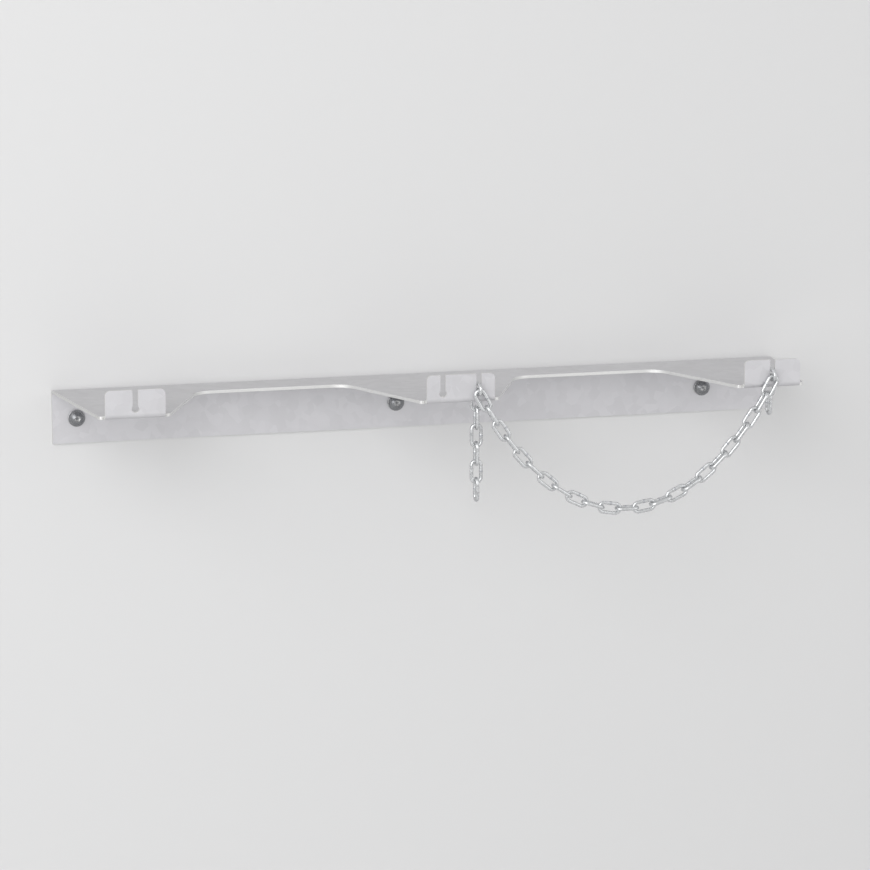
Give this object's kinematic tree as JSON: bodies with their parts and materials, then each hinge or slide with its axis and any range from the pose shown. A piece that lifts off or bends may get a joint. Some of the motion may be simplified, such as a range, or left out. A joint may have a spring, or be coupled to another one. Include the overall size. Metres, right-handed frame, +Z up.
{
  "type": "gas cylinder wall bracket",
  "caption": "Folded sheet steel wall bracket with cradles for gas cylinders side by side, slotted chain tabs and a round-link safety chain.",
  "frame": {"origin": "where the axis of the middle wall screw meets the wall, on the back face of the flange", "axes": "+X along the wall to the right as seen from the room, +Y into the wall, +Z up"},
  "size_m": [0.7464, 0.217, 0.1471],
  "materials": {
    "galvanised_sheet": "galvanised, satin",
    "steel_fixings": "dark zinc plate, satin",
    "zinc_chain": "bright zinc plate"
  },
  "bodies": {
    "bracket": {"wall_rail": "galvanised_sheet", "wall_screw_left": "steel_fixings", "wall_screw_middle": "steel_fixings", "wall_screw_right": "steel_fixings", "washer_left": "steel_fixings", "washer_middle": "steel_fixings", "washer_right": "steel_fixings", "hook_link_left": "zinc_chain", "hook_link_right": "zinc_chain"},
    "chain_span": {"span_link_01": "zinc_chain", "span_link_02": "zinc_chain", "span_link_03": "zinc_chain", "span_link_04": "zinc_chain", "span_link_05": "zinc_chain", "span_link_06": "zinc_chain", "span_link_07": "zinc_chain", "span_link_08": "zinc_chain", "span_link_09": "zinc_chain", "span_link_10": "zinc_chain", "span_link_11": "zinc_chain", "span_link_12": "zinc_chain", "span_link_13": "zinc_chain", "span_link_14": "zinc_chain", "span_link_15": "zinc_chain", "span_link_16": "zinc_chain", "span_link_17": "zinc_chain", "span_link_18": "zinc_chain", "span_link_19": "zinc_chain", "span_link_20": "zinc_chain", "span_link_21": "zinc_chain", "span_link_22": "zinc_chain", "span_link_23": "zinc_chain"},
    "left_tail_1": {"left_tail_link_1": "zinc_chain"},
    "left_tail_2": {"left_tail_link_2": "zinc_chain"},
    "left_tail_3": {"left_tail_link_3": "zinc_chain"},
    "left_tail_4": {"left_tail_link_4": "zinc_chain"},
    "left_tail_5": {"left_tail_link_5": "zinc_chain"},
    "left_tail_6": {"left_tail_link_6": "zinc_chain"},
    "right_tail_1": {"right_tail_link_1": "zinc_chain"},
    "right_tail_2": {"right_tail_link_2": "zinc_chain"}
  },
  "joints": [
    {"name": "span_swing", "type": "hinge", "parent": "bracket", "child": "chain_span", "pos_m": [0.043, -0.1605, 0.0387], "axis": [-1, 0, 0], "range_deg": [0, 90]},
    {"name": "left_tail_1_swing", "type": "hinge", "parent": "bracket", "child": "left_tail_1", "pos_m": [0.043, -0.1485, 0.0387], "axis": [1, 0, 0], "range_deg": [-2, 30]},
    {"name": "left_tail_2_swing", "type": "hinge", "parent": "left_tail_1", "child": "left_tail_2", "pos_m": [0.043, -0.1485, 0.0151], "axis": [1, 0, 0], "range_deg": [-30, 30]},
    {"name": "left_tail_3_swing", "type": "hinge", "parent": "left_tail_2", "child": "left_tail_3", "pos_m": [0.043, -0.1485, -0.0027], "axis": [0, -1, 0], "range_deg": [-30, 30]},
    {"name": "left_tail_4_swing", "type": "hinge", "parent": "left_tail_3", "child": "left_tail_4", "pos_m": [0.043, -0.1485, -0.0205], "axis": [1, 0, 0], "range_deg": [-30, 30]},
    {"name": "left_tail_5_swing", "type": "hinge", "parent": "left_tail_4", "child": "left_tail_5", "pos_m": [0.043, -0.1485, -0.0383], "axis": [0, -1, 0], "range_deg": [-30, 30]},
    {"name": "left_tail_6_swing", "type": "hinge", "parent": "left_tail_5", "child": "left_tail_6", "pos_m": [0.043, -0.1485, -0.0561], "axis": [1, 0, 0], "range_deg": [-30, 30]},
    {"name": "right_tail_1_swing", "type": "hinge", "parent": "bracket", "child": "right_tail_1", "pos_m": [0.34418, -0.1485, 0.0387], "axis": [1, 0, 0], "range_deg": [-2, 30]},
    {"name": "right_tail_2_swing", "type": "hinge", "parent": "right_tail_1", "child": "right_tail_2", "pos_m": [0.34418, -0.1485, 0.0151], "axis": [1, 0, 0], "range_deg": [-30, 30]}
  ]
}
